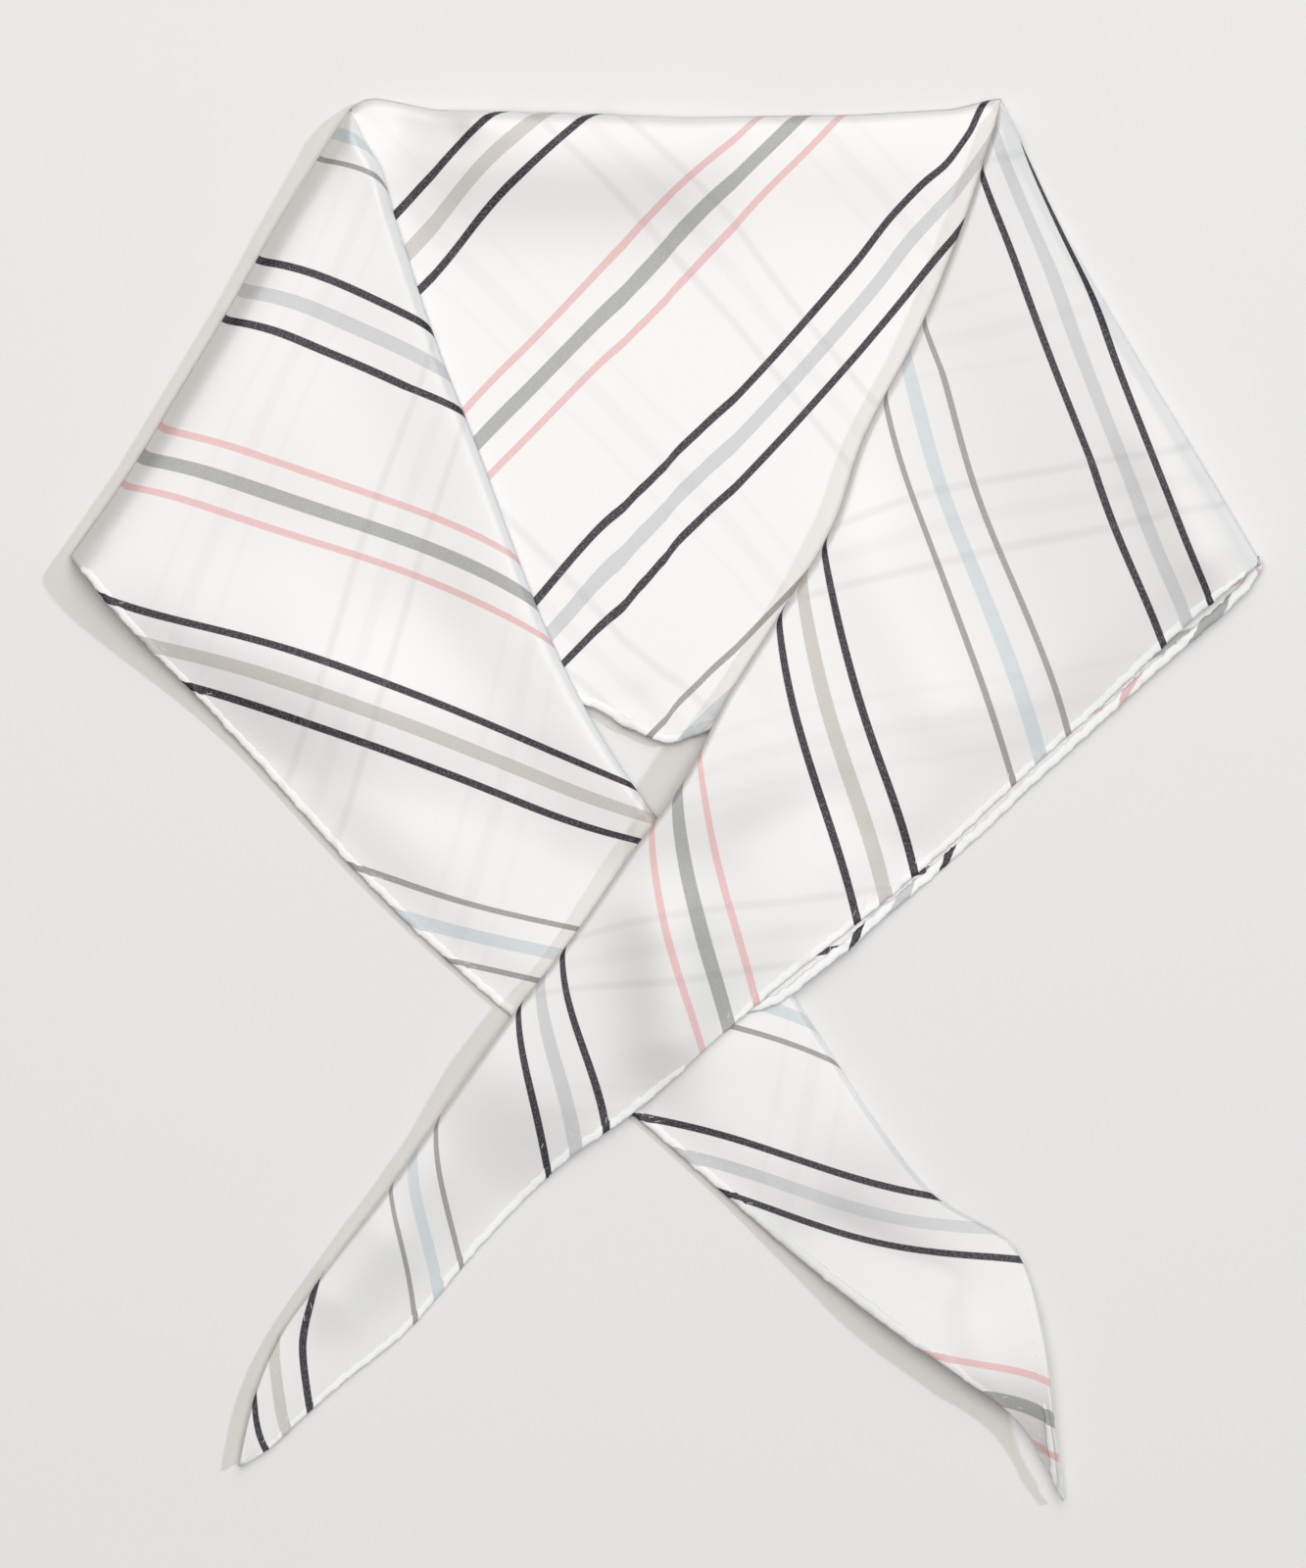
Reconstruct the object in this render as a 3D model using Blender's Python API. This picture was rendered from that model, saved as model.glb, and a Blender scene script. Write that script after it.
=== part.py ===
"""A printed silk scarf, cut as a long rhombus with a rolled hem.

It is folded in two on its long diagonal, which gives a shallow triangle of two plies, and laid
flat. Both ends are then folded down over the middle and crossed, the right end on top. Each
stretch that shows is one solid: its two plies share it, and part again at the hems.
"""
import math

import bmesh
import bpy
import numpy as np

NAME = "triangle_scarf"
MM = 0.001  # every size and table below is in millimetres
CENTRE_X = -0.5  # the middle of the whole outline, which the solids are centred on

# Cloth
PAIR = 3.0  # two plies and the air between them, lying flat
SINGLE = 1.7  # one ply between its two hems, at the tips
SEAM = 0.5  # air between the stretches
BRIDGE = 5.0  # how far past an edge below it a ply stays up
SETTLE = 20.0  # and the further way in which it comes down to the table

# Rolled hem, measured in from the cloth's edge
HEM_WIDTH = 3.0
HEM_RISE = 0.15
STITCH_DIP = 0.35
SLIT_DEPTH = 2.4
SLIT_HALF = 0.3

# Folds
SOFT_REACH = 23.0  # how far a soft fold's swell runs into the cloth
TURN_RADIUS = 3.6  # where an end turns over the middle at a shoulder
TURN_LIP = 0.8  # the turn's inner side, past its centre
ARCH_HEIGHT = 2.2  # the end's soft arch inside its shoulder, over the cloth further in
ARCH_IN = 22.0  # from the shoulder to the arch's crest
ARCH_REACH = 16.0
SHOULDER_ROWS = 6  # the rows of each end that run to its shoulder
CORNER_GAP = 11.0  # the middle's first and last sections, in from its corners
CORNER_POINT = 6.0  # how far on from those sections the corners' points are

# The middle's top edge, a soft fold, from the left shoulder to the right one
TOP_FOLD = [  # x, y
    (-107.0, 235.5), (-99.0, 238.2), (-91.0, 236.8), (-79.0, 234.5), (-52.0, 233.8),
    (-21.0, 232.8), (6.0, 231.5), (64.0, 232.5), (97.0, 234.5), (112.5, 238.2),
]
TOP_ROLL = 2.8

# The middle's hem, from the left shoulder through the point to the right one
POINT_HEM = [  # x, y
    (-202.8, 82.5), (-60.0, 43.0), (-30.5, 33.2), (-17.0, 26.5), (-6.0, 20.8),
    (0.0, 18.7), (7.5, 21.2), (14.5, 23.5), (60.0, 38.0), (201.8, 80.2),
]

# The ends, a row for each section across the cloth, from the shoulder's top to near the tip.
# "Fold" is the soft fold of the diagonal, "edge" the shoulder to its corner and then the hem.
LEFT_TIPS = ((-108.5, 234.0, 5.5), (134.5, -237.0, 4.5))  # the points of its two ends
LEFT_END = [  # fold_x, fold_y, edge_x, edge_y, roll, thick, lift_fold, lift_edge
    (-104.0, 226.0, -117.5, 219.5, 2.8, 3.0, 0.0, 0.0),
    (-97.5, 214.5, -131.0, 198.0, 3.0, 3.0, 0.0, 0.0),
    (-92.5, 198.5, -147.0, 170.0, 3.2, 3.0, 0.0, 0.0),
    (-87.5, 182.5, -163.5, 142.5, 3.3, 3.0, 0.0, 0.0),
    (-82.5, 167.0, -180.0, 115.0, 3.3, 3.0, 0.0, 0.0),
    (-75.5, 146.5, -203.0, 82.5, 3.3, 3.0, 0.0, 0.0),
    (-64.5, 120.0, -183.5, 59.0, 3.3, 3.0, 0.0, 0.0),
    (-53.0, 89.0, -159.0, 34.0, 3.2, 3.0, 0.0, 0.0),
    (-41.0, 58.0, -135.5, 8.0, 3.0, 3.0, 0.0, 0.0),
    (-26.0, 28.0, -112.0, -18.0, 2.6, 3.0, 0.0, 0.0),
    (-8.0, 0.0, -87.5, -43.0, 2.0, 3.0, 0.0, 0.0),
    (12.5, -26.0, -61.5, -66.5, 1.8, 3.0, 0.0, 0.0),
    (33.0, -52.5, -34.0, -89.0, 2.0, 3.0, 0.0, 0.0),
    (51.5, -80.0, -7.0, -111.0, 2.6, 3.0, 0.0, 0.0),
    (69.5, -108.0, 19.5, -134.5, 2.8, 3.0, 0.0, 0.5),
    (90.0, -134.0, 46.5, -157.0, 2.5, 3.0, 0.0, 2.0),
    (106.0, -148.0, 61.5, -169.5, 2.1, 2.8, 0.3, 3.5),
    (120.5, -156.5, 78.0, -181.5, 1.5, 2.4, 0.8, 4.5),
    (125.0, -166.0, 88.5, -187.5, 1.0, 1.8, 1.0, 5.0),
    (128.5, -183.0, 101.0, -196.5, 0.9, 1.7, 1.2, 5.0),
    (131.5, -210.0, 121.0, -213.5, 0.9, 1.7, 2.0, 4.0),
]
RIGHT_TIPS = ((115.0, 234.0, 5.5), (-144.0, -225.5, 3.5))
RIGHT_END = [  # fold_x, fold_y, edge_x, edge_y, roll, thick, lift_fold, lift_edge
    (111.5, 227.5, 122.0, 220.0, 2.8, 3.0, 0.0, 0.0),
    (107.5, 215.0, 134.0, 196.0, 3.0, 3.0, 0.0, 0.0),
    (102.0, 199.0, 151.0, 167.5, 3.2, 3.0, 0.0, 0.0),
    (96.0, 183.5, 171.0, 140.5, 3.3, 3.0, 0.0, 0.0),
    (90.0, 168.0, 186.5, 111.0, 3.3, 3.0, 0.0, 0.0),
    (82.5, 152.0, 202.0, 80.5, 3.3, 3.0, 0.0, 0.0),
    (67.5, 123.5, 176.0, 58.5, 3.3, 3.0, 0.0, 0.0),
    (56.0, 92.5, 150.5, 34.5, 3.3, 3.0, 0.0, 0.0),
    (39.0, 63.5, 124.5, 11.0, 3.3, 3.0, 0.0, 0.0),
    (21.0, 35.5, 99.0, -13.0, 3.2, 3.0, 0.0, 0.0),
    (6.0, 6.0, 72.5, -36.0, 3.0, 3.0, 0.0, 0.0),
    (-14.0, -21.0, 45.0, -58.0, 2.8, 3.0, 0.0, 0.0),
    (-33.0, -48.0, 18.0, -80.5, 2.8, 3.0, 0.0, 0.0),
    (-53.0, -74.5, -8.0, -104.0, 3.0, 3.0, 0.0, 0.0),
    (-72.5, -101.5, -36.5, -125.0, 3.2, 3.0, 0.5, 0.0),
    (-91.5, -128.5, -61.0, -149.5, 3.2, 3.0, 1.0, 0.0),
    (-107.0, -149.5, -76.5, -167.5, 2.4, 2.8, 1.5, 0.0),
    (-118.0, -163.5, -92.0, -184.0, 1.5, 2.3, 2.0, 0.0),
    (-124.5, -171.0, -100.5, -191.0, 1.0, 1.8, 2.2, 0.0),
    (-131.5, -182.5, -109.0, -197.5, 0.9, 1.7, 2.5, 0.5),
    (-140.0, -203.5, -125.5, -212.0, 0.9, 1.7, 3.0, 1.0),
]
# How far the lower ply's hem shows past the upper one's, along the right end from its corner
RIGHT_LEDGE = [  # distance, width that shows
    (-8.0, 0.0), (2.0, 1.2), (14.0, 5.0), (45.0, 6.0), (90.0, 4.5), (135.0, 5.0), (180.0, 2.5),
    (215.0, 0.0),
]

# Large soft ridges and troughs of the top ply: the two ends of each, how far it reaches to both
# sides, and how high it stands
DRAPE = [  # x0, y0, x1, y1, reach, height
    (-92.0, 231.0, 3.0, 226.0, 9.0, 1.1),
    (-88.0, 216.0, 3.0, 203.5, 9.0, -0.7),
    (-12.0, 33.5, -11.0, 33.0, 6.0, -0.5),
    (-110.0, 152.0, -84.0, 98.0, 12.0, -0.9),
    (-80.0, 65.0, -47.0, 15.0, 13.0, -1.2),
    (-127.0, 65.0, -87.0, -12.0, 20.0, 0.7),
    (63.0, -140.0, 98.0, -158.0, 7.5, -1.0),
    (101.0, -171.0, 107.0, -195.0, 6.0, 0.9),
    (110.0, 162.0, 157.0, 58.0, 15.0, -1.3),
    (67.0, 85.0, 93.0, 32.0, 13.0, 0.8),
    (67.0, 65.0, 73.0, 48.0, 8.0, -0.6),
    (30.0, -11.0, 57.0, 2.0, 6.0, -0.7),
    (-18.0, -55.0, -10.0, -78.0, 10.0, -0.9),
    (-67.0, -131.0, -23.0, -111.0, 10.0, -0.9),
]

# How finely the cloth is sectioned
SHOULDER_SECTIONS = 12  # of an end, from its shoulder's top to its corner
HEM_SECTIONS = 36  # and from the corner on to its tip
MIDDLE_SECTIONS = 36
OVER = 9  # points over the top ply, between its fold and its edge
UNDER = 5  # points back along the underside
ROUND = 5  # points round a soft fold


# ---------------------------------------------------------------- plan

def unit(vector):
    return vector / np.linalg.norm(vector)


def eased(rows):
    """An end's sections: its table read off along a smooth curve through all the rows."""
    table = np.array(rows, float)
    middle = (table[:, 0:2] + table[:, 2:4]) / 2
    along = np.r_[0, np.cumsum(np.linalg.norm(np.diff(middle, axis=0), axis=1))]
    slope = np.gradient(table, along, axis=0)
    corner = along[SHOULDER_ROWS - 1]
    steps = np.linspace(0, corner, SHOULDER_SECTIONS)
    out = []
    for at in [*steps, *np.linspace(corner, along[-1], HEM_SECTIONS + 1)[1:]]:
        k = min(int(np.searchsorted(along, at, side="right")) - 1, len(along) - 2)
        span = along[k + 1] - along[k]
        t = (at - along[k]) / span
        out.append(
            table[k] * (1 + 2 * t) * (1 - t) ** 2 + table[k + 1] * t * t * (3 - 2 * t)
            + slope[k] * span * t * (1 - t) ** 2 - slope[k + 1] * span * t * t * (1 - t)
        )
    return np.array(out)


def distance(point, line):
    """From a point to an open line of points."""
    start, step = line[:-1], np.diff(line, axis=0)
    t = ((point - start) * step).sum(1) / (step ** 2).sum(1)
    near = start + np.clip(t, 0, 1)[:, None] * step
    return float(np.min(np.linalg.norm(point - near, axis=1)))


def outside(point, outline):
    """Distance past a closed outline, 0 within it."""
    x, y = point
    a, b = outline, np.roll(outline, -1, axis=0)
    crosses = (a[:, 1] > y) != (b[:, 1] > y)
    rise = np.where(b[:, 1] == a[:, 1], 1.0, b[:, 1] - a[:, 1])
    left = x < a[:, 0] + (b[:, 0] - a[:, 0]) * (y - a[:, 1]) / rise
    if np.count_nonzero(crosses & left) % 2:
        return 0.0
    return distance(point, np.vstack([outline, outline[:1]]))


def shoulder_line(rows, tips):
    """Outline of a shoulder, where an end turns over, from its top to its corner."""
    return np.vstack([tips[0][:2], np.array(rows)[:SHOULDER_ROWS, 2:4]])


def inset(line, side):
    """The middle's edge inside a shoulder, clear of the cloth that turns over there."""
    along = np.gradient(line, axis=0)
    along /= np.linalg.norm(along, axis=1)[:, None]
    inward = np.stack([-along[:, 1], along[:, 0]], axis=1) * side
    return line + inward * (TURN_RADIUS + TURN_LIP + SEAM)


def is_soft(x):
    """Whether the middle's top edge is the soft fold here, and not tucked in a shoulder."""
    return TOP_FOLD[0][0] < x < TOP_FOLD[-1][0]


def middle_spans():
    """Sections of the middle: x, the y of its top edge and the y of its hem."""
    left = inset(shoulder_line(LEFT_END, LEFT_TIPS), 1)[::-1]
    right = inset(shoulder_line(RIGHT_END, RIGHT_TIPS), -1)
    fold, hem = np.array(TOP_FOLD), np.array(POINT_HEM)
    spans = []
    first, last = left[0, 0] + CORNER_GAP, right[-1, 0] - CORNER_GAP
    for x in np.linspace(first, last, MIDDLE_SECTIONS):
        top = np.interp(x, fold[:, 0], fold[:, 1])
        if x < left[-1, 0]:
            top = min(top, np.interp(x, left[:, 0], left[:, 1]))
        if x > right[0, 0]:
            top = min(top, np.interp(x, right[:, 0], right[:, 1]))
        spans.append((x, top, np.interp(x, hem[:, 0], hem[:, 1])))
    return spans


# ---------------------------------------------------------------- heights

def settled(past):
    """Share of its height that cloth keeps at this distance past the edge that it lies on."""
    return 1 - min(1.0, max(0.0, past - BRIDGE) / SETTLE)


def swell(into, roll, thick, width):
    """How far a soft fold, this far off, holds the top ply above its flat height."""
    reach = min(SOFT_REACH, 0.35 * width)
    return (2 * roll - thick) * math.exp(-(max(0.0, into - roll) / reach) ** 2)


def arch(inside):
    """How far an end's soft arch holds its top ply up, this far inside its shoulder."""
    return ARCH_HEIGHT * math.exp(-((inside - ARCH_IN) / ARCH_REACH) ** 2)


def drape(x, y):
    """Height of the large ridges and troughs at a point."""
    total = 0.0
    for x0, y0, x1, y1, reach, height in DRAPE:
        off = distance(np.array((x, y)), np.array([(x0, y0), (x1, y1)]))
        total += height * math.exp(-(off / reach) ** 2)
    return total


class Middle:
    """The middle, which lies on the table."""

    def __init__(self):
        self.spans = middle_spans()
        upper = [(x, top) for x, top, _ in self.spans]
        lower = [(x, low) for x, _, low in self.spans]
        self.outline = np.array(upper + lower[::-1])
        self.fold = np.array([p for p in upper if is_soft(p[0])])
        self.corners = [self.corner(0, -1), self.corner(-1, 1)]

    def corner(self, end, way):
        """Point of the middle beyond its first or last section."""
        x, top, low = self.spans[end]
        return x + way * CORNER_POINT, 0.4 * top + 0.6 * low, 0.5 * PAIR

    def height(self, point):
        """Top of the middle, and of the cloth that comes down past its edges."""
        over = swell(distance(point, self.fold), TOP_ROLL, PAIR, math.inf)
        high = PAIR + HEM_RISE + over + max(0.0, drape(*point))
        return high * settled(outside(point, self.outline))


class End:
    """An end, folded over on whatever is below it."""

    def __init__(self, rows, under):
        self.rows = eased(rows)
        self.rows[:, 6:8] = np.maximum(self.rows[:, 6:8], 0.0)
        self.under = under
        self.outline = np.vstack([self.rows[:, 0:2], self.rows[::-1, 2:4]])

    def floor(self, point):
        """Underside of the end: clear of what it lies on, or on the table."""
        top = max(layer.height(point) for layer in self.under)
        return top + min(SEAM, top)

    def height(self, point):
        """Top of the end, and of cloth that comes down past its edges."""
        near = np.linalg.norm(self.rows[:, 0:2] - point, axis=1).argmin()
        over = swell(distance(point, self.rows[:, 0:2]), self.rows[near, 4], PAIR, math.inf)
        high = self.floor(point) + PAIR + HEM_RISE + max(0.0, over) + max(0.0, drape(*point))
        return high * settled(outside(point, self.outline))


# ---------------------------------------------------------------- sections

def soft_fold(roll):
    """Points round a soft fold, from its underside to its top: in from its edge, and up."""
    turn = np.linspace(-math.pi / 2, math.pi / 2, ROUND)
    return [(roll * (1 - math.cos(a)), roll * (1 + math.sin(a))) for a in turn]


def hem_edge(thick, ledge):
    """Points round both rolled hems, from the top ply down: in from the edge, and up."""
    parted = max(0.0, min(1.0, (thick - SINGLE) / (PAIR - SINGLE)))
    half, slit = thick / 2, 0.15 + (SLIT_HALF - 0.15) * parted
    return [
        (2.4 * HEM_WIDTH, thick),
        (1.2 * HEM_WIDTH, thick - STITCH_DIP),
        (0.6 * HEM_WIDTH, thick + HEM_RISE),
        (0.0, thick - 0.5),
        (0.3 * parted, half + slit),
        (SLIT_DEPTH * parted - 0.05, half),
        (0.3 * parted - ledge, half - slit),
        (-ledge, 0.5),
        (1.2 - ledge, 0.0),
        (2.4 * HEM_WIDTH, 0.0),
    ]


def turned_edge(radius):
    """Points round the turn at a shoulder, down to the table: in from its edge, and up."""
    turn = np.radians([90, 50, 12, -24, -58, -90])
    points = [(radius * (1 - math.cos(a)), TURN_RADIUS * (1 + math.sin(a))) for a in turn]
    return points + [(radius + 0.6 * TURN_LIP, 0.0)]


def end_section(end, row, slant, ledge):
    """One closed ring across an end: round its fold, over the top ply, round its edge, back.

    A section that runs to the shoulder meets it at a slant, and its edge is the turn there.
    """
    fold, edge = row[0:2], row[2:4]
    roll, thick, lift_fold, lift_edge = row[4:8]
    width = np.linalg.norm(edge - fold)
    across = (edge - fold) / width
    roll = min(roll, 0.3 * width)

    def low(into, up=0.0):
        spot = fold + across * into
        lift = lift_fold + (lift_edge - lift_fold) * into / width
        return spot[0], spot[1], end.floor(spot) + lift + up

    def high(into):
        spot = fold + across * into
        held_up = swell(into, roll, thick, width)
        if slant:
            held_up = math.hypot(held_up, arch((width - into) * slant))
        return low(into, thick + held_up + drape(*spot))

    def level(into, up):
        spot = fold + across * into
        return spot[0], spot[1], up

    radius = min(TURN_RADIUS, 0.15 * width * slant)
    reach = min(4 * radius / slant if slant else 2.4 * HEM_WIDTH, 0.5 * width)
    start, stop = min(2.2 * roll, 0.4 * width), width - reach
    ring = [low(into, up) for into, up in soft_fold(roll)]
    ring += [high(into) for into in np.linspace(start, stop, OVER + 1)[:-1]]
    if slant:
        ring += [high(stop), high(width - 2.2 * radius / slant)]
        ring += [level(width - e / slant, up) for e, up in turned_edge(radius)]
        ring += [low(width - (radius + TURN_LIP) / slant)]
    else:
        fit = reach / (2.4 * HEM_WIDTH)
        ring += [low(width - (e * fit if e > 0 else e), up) for e, up in hem_edge(thick, ledge)]
    ring += [low(into) for into in np.linspace(stop, start, UNDER + 2)[1:]]
    return ring


def middle_section(x, top, low, roll):
    """One closed ring across the middle, from its top fold down to its hem and back."""
    width = top - low
    roll = min(roll, 0.3 * width)
    thick = min(PAIR, 0.8 * width)
    reach = min(2.4 * HEM_WIDTH, 0.5 * width)
    fit = reach / (2.4 * HEM_WIDTH)
    start, stop = min(2.2 * roll, 0.45 * width), width - reach
    ring = [(x, top - into, up) for into, up in soft_fold(roll)]
    for into in np.linspace(start, stop, OVER + 1)[:-1]:
        up = thick + swell(into, roll, thick, width) + drape(x, top - into)
        ring.append((x, top - into, up))
    ring += [(x, low + e * fit, up) for e, up in hem_edge(thick, 0.0)]
    ring += [(x, top - into, 0.0) for into in np.linspace(stop, start, UNDER + 2)[1:]]
    return ring


def ledge_at(on):
    """Width of the lower hem that shows, this far on from the right end's corner."""
    table = np.array(RIGHT_LEDGE)
    return float(np.interp(on, table[:, 0], table[:, 1], 0.0, 0.0))


def middle_rings(middle):
    """Sections of the middle, from left to right."""
    rings = []
    for x, top, low in middle.spans:
        rings.append(middle_section(x, top, low, TOP_ROLL if is_soft(x) else PAIR / 2))
    return rings


def end_rings(end, ledged):
    """Sections of an end, from its shoulder to its tip."""
    corner = SHOULDER_SECTIONS - 1
    down = unit(end.rows[corner, 2:4] - end.rows[0, 2:4])
    along = np.r_[0, np.cumsum(np.linalg.norm(np.diff(end.rows[:, 2:4], axis=0), axis=1))]
    rings = []
    for k, row in enumerate(end.rows):
        across = unit(row[2:4] - row[0:2])
        slant = abs(across[0] * down[1] - across[1] * down[0]) if k <= corner else 0.0
        ledge = ledge_at(along[k] - along[corner]) if ledged else 0.0
        rings.append(end_section(end, row, slant, ledge))
    return rings


# ---------------------------------------------------------------- solids

def loft(name, rings, tips, collection, finish):
    """A closed solid through rings of the same number of points, each end drawn to a point."""
    mesh = bmesh.new()

    def vertex(x, y, z):
        return mesh.verts.new(((x - CENTRE_X) * MM, y * MM, z * MM))

    loops = [[vertex(*point) for point in ring] for ring in rings]
    for near, far in zip(loops, loops[1:]):
        for i in range(len(near)):
            j = (i + 1) % len(near)
            mesh.faces.new((near[i], near[j], far[j], far[i]))
    for loop, tip in ((loops[0][::-1], tips[0]), (loops[-1], tips[1])):
        point = vertex(*tip)
        for one, other in zip(loop, loop[1:] + loop[:1]):
            mesh.faces.new((one, other, point))
    bmesh.ops.triangulate(mesh, faces=mesh.faces[:])
    bmesh.ops.recalc_face_normals(mesh, faces=mesh.faces[:])
    data = bpy.data.meshes.new(name)
    mesh.to_mesh(data)
    mesh.free()
    data.shade_smooth()
    data.set_sharp_from_angle(angle=math.radians(40))
    data.materials.append(finish)
    piece = bpy.data.objects.new(name, data)
    collection.objects.link(piece)
    return piece


def silk(name, colour, roughness):
    """Printed silk twill, in the colour that the stretch shows."""
    finish = bpy.data.materials.new(name)
    finish.use_nodes = True
    shader = finish.node_tree.nodes["Principled BSDF"]
    shader.inputs["Base Color"].default_value = (*colour, 1)
    shader.inputs["Roughness"].default_value = roughness
    shader.inputs["Metallic"].default_value = 0.0
    return finish


def build():
    for old in list(bpy.data.objects):
        bpy.data.objects.remove(old, do_unlink=True)
    collection = bpy.data.collections.new(NAME)
    bpy.context.scene.collection.children.link(collection)

    middle = Middle()
    left = End(LEFT_END, [middle])
    right = End(RIGHT_END, [middle, left])
    loft("centre_panel", middle_rings(middle), middle.corners, collection,
         silk("silk_middle", (0.87, 0.86, 0.84), 0.42))
    loft("left_tail", end_rings(left, False), LEFT_TIPS, collection,
         silk("silk_left_end", (0.88, 0.87, 0.85), 0.42))
    loft("right_tail", end_rings(right, True), RIGHT_TIPS, collection,
         silk("silk_right_end", (0.85, 0.85, 0.85), 0.45))


build()
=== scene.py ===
import math

import bmesh
import bpy
import numpy as np
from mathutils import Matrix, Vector
from mathutils.bvhtree import BVHTree


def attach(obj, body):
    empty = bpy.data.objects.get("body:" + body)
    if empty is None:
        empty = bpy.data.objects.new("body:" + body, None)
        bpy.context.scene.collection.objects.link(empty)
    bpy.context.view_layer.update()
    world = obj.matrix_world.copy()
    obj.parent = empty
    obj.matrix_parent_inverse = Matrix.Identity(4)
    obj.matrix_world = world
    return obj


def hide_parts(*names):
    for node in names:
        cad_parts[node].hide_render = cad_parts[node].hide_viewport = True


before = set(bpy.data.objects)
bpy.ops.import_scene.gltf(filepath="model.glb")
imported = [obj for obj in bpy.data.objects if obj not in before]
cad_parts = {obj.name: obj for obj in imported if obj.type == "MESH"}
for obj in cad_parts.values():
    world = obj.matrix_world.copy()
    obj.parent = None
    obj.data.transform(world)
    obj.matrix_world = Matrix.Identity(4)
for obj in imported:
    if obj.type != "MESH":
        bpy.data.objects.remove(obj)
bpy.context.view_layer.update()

# ---------------------------------------------------------------- camera
# The scarf is seen from straight above, through a long lens, so that its outline keeps its true
# proportions. Three pixels of the picture are one millimetre on the table.
camera_height = 5.0
camera_middle = (-0.00417, 0.00517)
picture_long_side = 1600 / 3000

camera_data = bpy.data.cameras.new("camera")
camera_data.sensor_width = 36.0
camera_data.lens = 36.0 * camera_height / picture_long_side
camera_data.clip_end = 50.0
camera = bpy.data.objects.new("camera", camera_data)
camera.location = (*camera_middle, camera_height)
bpy.context.scene.collection.objects.link(camera)
bpy.context.scene.camera = camera
bpy.context.scene.view_settings.view_transform = "Standard"

# ---------------------------------------------------------------- silk cloth
# One rhombus of silk twill, 1.37 m by 0.44 m, folded in two on its long diagonal. Its middle lies on
# the table, and both ends turn over at a shoulder and cross, the right end on top. Past the crossing
# the diagonal fold opens, so each tip is a single ply. Sizes are in millimetres.
left, right = -1, 1  # the two ends
front, back = 1, -1  # the rhombus's two halves: the one on top in the middle, and the one under it
half_long, half_short = 641.3, 215.7  # the rhombus's half diagonals, as it lies
point_slack, point_reach = 6.7, 40.0  # more cloth than that at the hem's point, and how far beside it
centre_x = 0.5  # from the tables' x to the part's
label_shift = 3.17  # from a label, the distance along the diagonal from its middle, to x on the table
shoulder_start = 110.3  # label at which both ends turn over
crossing_print = 235.2  # y at which the print's own zero crosses the middle
stretch_labels = (-110, 20, 110.3, 205)  # along the top fold, where the print runs ahead of the label
stretched = (0, 0, 16.4, 19)  # and how far

# x and y of the middle's top fold, and of its hem
top_fold = np.array([
    (-112, 234.8), (-107.5, 234.8), (-103, 237.6), (-98.8, 238.2), (-91.5, 236.8), (-79, 234.2),
    (-52, 233.6), (-21, 232.8), (6.5, 231.6), (34.5, 232.1), (64, 232.5), (97.5, 234.5),
    (109, 237.4), (114, 238.2), (118, 237)])
point_hem = np.array([
    (-202.8, 82.5), (-60, 43), (-30.5, 33.2), (-24.2, 30.8), (-19.5, 28.2), (-14.8, 24.5),
    (-9.5, 22.8), (-6.2, 20.8), (-3.5, 20.2), (0, 18.7), (4.5, 19.8), (7.5, 20.8), (10.8, 21.8),
    (14.5, 23.5), (60, 38), (201.8, 80.2)])

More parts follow.
